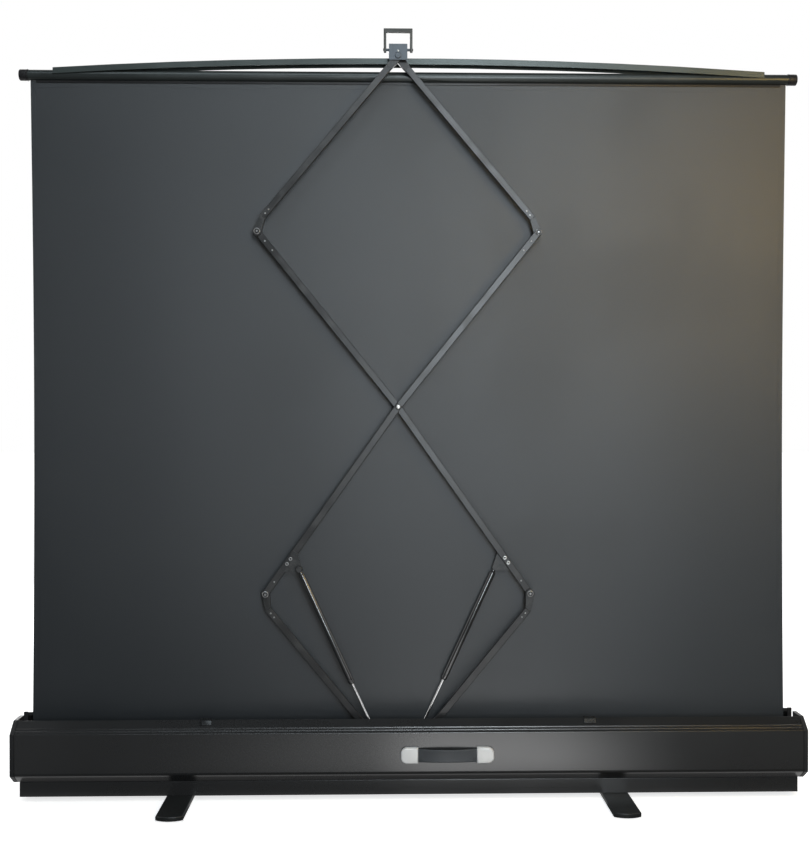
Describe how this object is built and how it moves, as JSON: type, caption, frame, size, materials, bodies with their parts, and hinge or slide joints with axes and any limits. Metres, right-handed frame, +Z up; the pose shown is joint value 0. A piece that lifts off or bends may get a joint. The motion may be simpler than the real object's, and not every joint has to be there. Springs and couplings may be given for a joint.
{
  "type": "pull-up projection screen",
  "caption": "Free-standing pull-up projection screen: a cloth rises from a floor case on a scissor frame with gas struts, under a bowed crossbar with a pull loop.",
  "frame": {"origin": "on the floor, under the middle of the case", "axes": "+X along the case, +Y towards the audience's side of the cloth, +Z up"},
  "size_m": [1.8, 0.37, 1.7597],
  "materials": {
    "black_paint": "satin black paint",
    "black_plastic": "fine matt black moulding",
    "grey_arm": "dull grey anodised",
    "dark_bar": "dark anodised",
    "steel": "zinc-plated",
    "chrome": "polished",
    "strut_black": "gloss black paint",
    "silver_plastic": "silver-coloured moulding",
    "grip_rubber": "dark grey, soft",
    "foot_rubber": "matt black",
    "screen_cloth": "coated cloth, dark back"
  },
  "bodies": {
    "housing": {"rear_cover": "black_paint", "front_cover": "black_paint", "base_plate": "black_paint", "rear_skirt": "black_paint", "front_skirt": "black_paint", "end_cap_left": "black_plastic", "end_cap_right": "black_plastic", "handle_grip": "grip_rubber", "handle_cap_left": "silver_plastic", "handle_cap_right": "silver_plastic", "foot_bolt_left": "steel", "foot_bolt_right": "steel", "base_bracket": "steel", "base_pin": "steel", "screen_cloth": "screen_cloth", "rest_clip_left": "steel", "rest_clip_right": "steel"},
    "roller": {"roller_tube": "steel", "wound_cloth": "screen_cloth", "roller_plug_left": "black_plastic", "roller_plug_right": "black_plastic", "roller_spring": "steel"},
    "crossbar": {"top_tube": "dark_bar", "tube_cap_left": "black_plastic", "tube_cap_right": "black_plastic", "bow": "dark_bar", "top_block": "steel", "top_pin": "steel"},
    "pull_loop": {"pull_loop": "dark_bar"},
    "foot_left": {"foot_left": "black_paint", "foot_pad_left_front": "foot_rubber", "foot_pad_left_rear": "foot_rubber"},
    "lower_left": {"lower_arm_left": "grey_arm", "lower_root_left": "steel", "lower_elbow_left": "steel"},
    "long_left": {"long_arm_left": "grey_arm", "lower_elbow_pin_left": "steel", "strut_bracket_left": "steel", "upper_elbow_pin_right": "steel", "centre_pin": "steel"},
    "upper_left": {"upper_arm_left": "grey_arm", "upper_elbow_left": "steel", "upper_head_left": "steel"},
    "strut_left": {"strut_cylinder_left": "strut_black"},
    "rod_left": {"strut_rod_left": "chrome"},
    "foot_right": {"foot_right": "black_paint", "foot_pad_right_front": "foot_rubber", "foot_pad_right_rear": "foot_rubber"},
    "lower_right": {"lower_arm_right": "grey_arm", "lower_root_right": "steel", "lower_elbow_right": "steel"},
    "long_right": {"long_arm_right": "grey_arm", "lower_elbow_pin_right": "steel", "strut_bracket_right": "steel", "upper_elbow_pin_left": "steel"},
    "upper_right": {"upper_arm_right": "grey_arm", "upper_elbow_right": "steel", "upper_head_right": "steel"},
    "strut_right": {"strut_cylinder_right": "strut_black"},
    "rod_right": {"strut_rod_right": "chrome"}
  },
  "joints": [
    {"name": "fold", "type": "hinge", "parent": "housing", "child": "lower_left", "pos_m": [-0.03, 0, 0.036], "axis": [0, -1, 0], "range_deg": [0, 49], "deforming": ["screen_cloth"]},
    {"name": "lower_right_fold", "type": "hinge", "parent": "housing", "child": "lower_right", "pos_m": [-0.03, 0, 0.036], "axis": [0, 1, 0], "range_deg": [0, 49]},
    {"name": "long_left_fold", "type": "hinge", "parent": "lower_left", "child": "long_left", "pos_m": [-0.33395, 0, 0.46529], "axis": [0, 1, 0], "range_deg": [0, 98]},
    {"name": "long_right_fold", "type": "hinge", "parent": "lower_right", "child": "long_right", "pos_m": [0.27395, 0, 0.46529], "axis": [0, -1, 0], "range_deg": [0, 98]},
    {"name": "upper_right_fold", "type": "hinge", "parent": "long_left", "child": "upper_right", "pos_m": [0.29207, 0, 1.29516], "axis": [0, -1, 0], "range_deg": [0, 98]},
    {"name": "upper_left_fold", "type": "hinge", "parent": "long_right", "child": "upper_left", "pos_m": [-0.35207, 0, 1.29516], "axis": [0, 1, 0], "range_deg": [0, 98]},
    {"name": "crossbar_level", "type": "hinge", "parent": "upper_right", "child": "crossbar", "pos_m": [-0.03, 0, 1.69574], "axis": [0, 1, 0], "range_deg": [0, 49]},
    {"name": "strut_left_hinge", "type": "hinge", "parent": "long_left", "child": "strut_left", "pos_m": [-0.25573, 0, 0.52385], "axis": [0, -1, 0], "range_deg": [0, 110]},
    {"name": "strut_right_hinge", "type": "hinge", "parent": "long_right", "child": "strut_right", "pos_m": [0.19573, 0, 0.52385], "axis": [0, 1, 0], "range_deg": [0, 110]},
    {"name": "rod_left_slide", "type": "slide", "parent": "strut_left", "child": "rod_left", "axis": [-0.4199, 0, 0.9076], "range_m": [0, 0.1086]},
    {"name": "rod_right_slide", "type": "slide", "parent": "strut_right", "child": "rod_right", "axis": [0.4199, 0, 0.9076], "range_m": [0, 0.1086]},
    {"name": "roller_spin", "type": "hinge", "parent": "housing", "child": "roller", "pos_m": [0, 0.0432, 0.085], "axis": [1, 0, 0], "range_deg": [0, 3918]},
    {"name": "foot_left_swivel", "type": "hinge", "parent": "housing", "child": "foot_left", "pos_m": [-0.526, 0, 0.0123], "axis": [0, 0, 1], "range_deg": [0, 90]},
    {"name": "foot_right_swivel", "type": "hinge", "parent": "housing", "child": "foot_right", "pos_m": [0.466, 0, 0.0123], "axis": [0, 0, -1], "range_deg": [0, 90]},
    {"name": "pull_loop_hinge", "type": "hinge", "parent": "crossbar", "child": "pull_loop", "pos_m": [-0.03, -0.0085, 1.71174], "axis": [1, 0, 0], "range_deg": [0, 90]}
  ],
  "couplings": [
    {"joint": "lower_right_fold", "follows": "fold", "ratio": 1},
    {"joint": "long_left_fold", "follows": "fold", "ratio": 2},
    {"joint": "long_right_fold", "follows": "fold", "ratio": 2},
    {"joint": "upper_right_fold", "follows": "fold", "ratio": 2},
    {"joint": "upper_left_fold", "follows": "fold", "ratio": 2},
    {"joint": "crossbar_level", "follows": "fold", "ratio": 1},
    {"joint": "strut_left_hinge", "follows": "fold", "ratio": 2.2437},
    {"joint": "strut_right_hinge", "follows": "fold", "ratio": 2.2437},
    {"joint": "rod_left_slide", "follows": "fold", "m_per_rad": 0.12687},
    {"joint": "rod_right_slide", "follows": "fold", "m_per_rad": 0.12687},
    {"joint": "roller_spin", "follows": "fold", "ratio": 79.84}
  ]
}
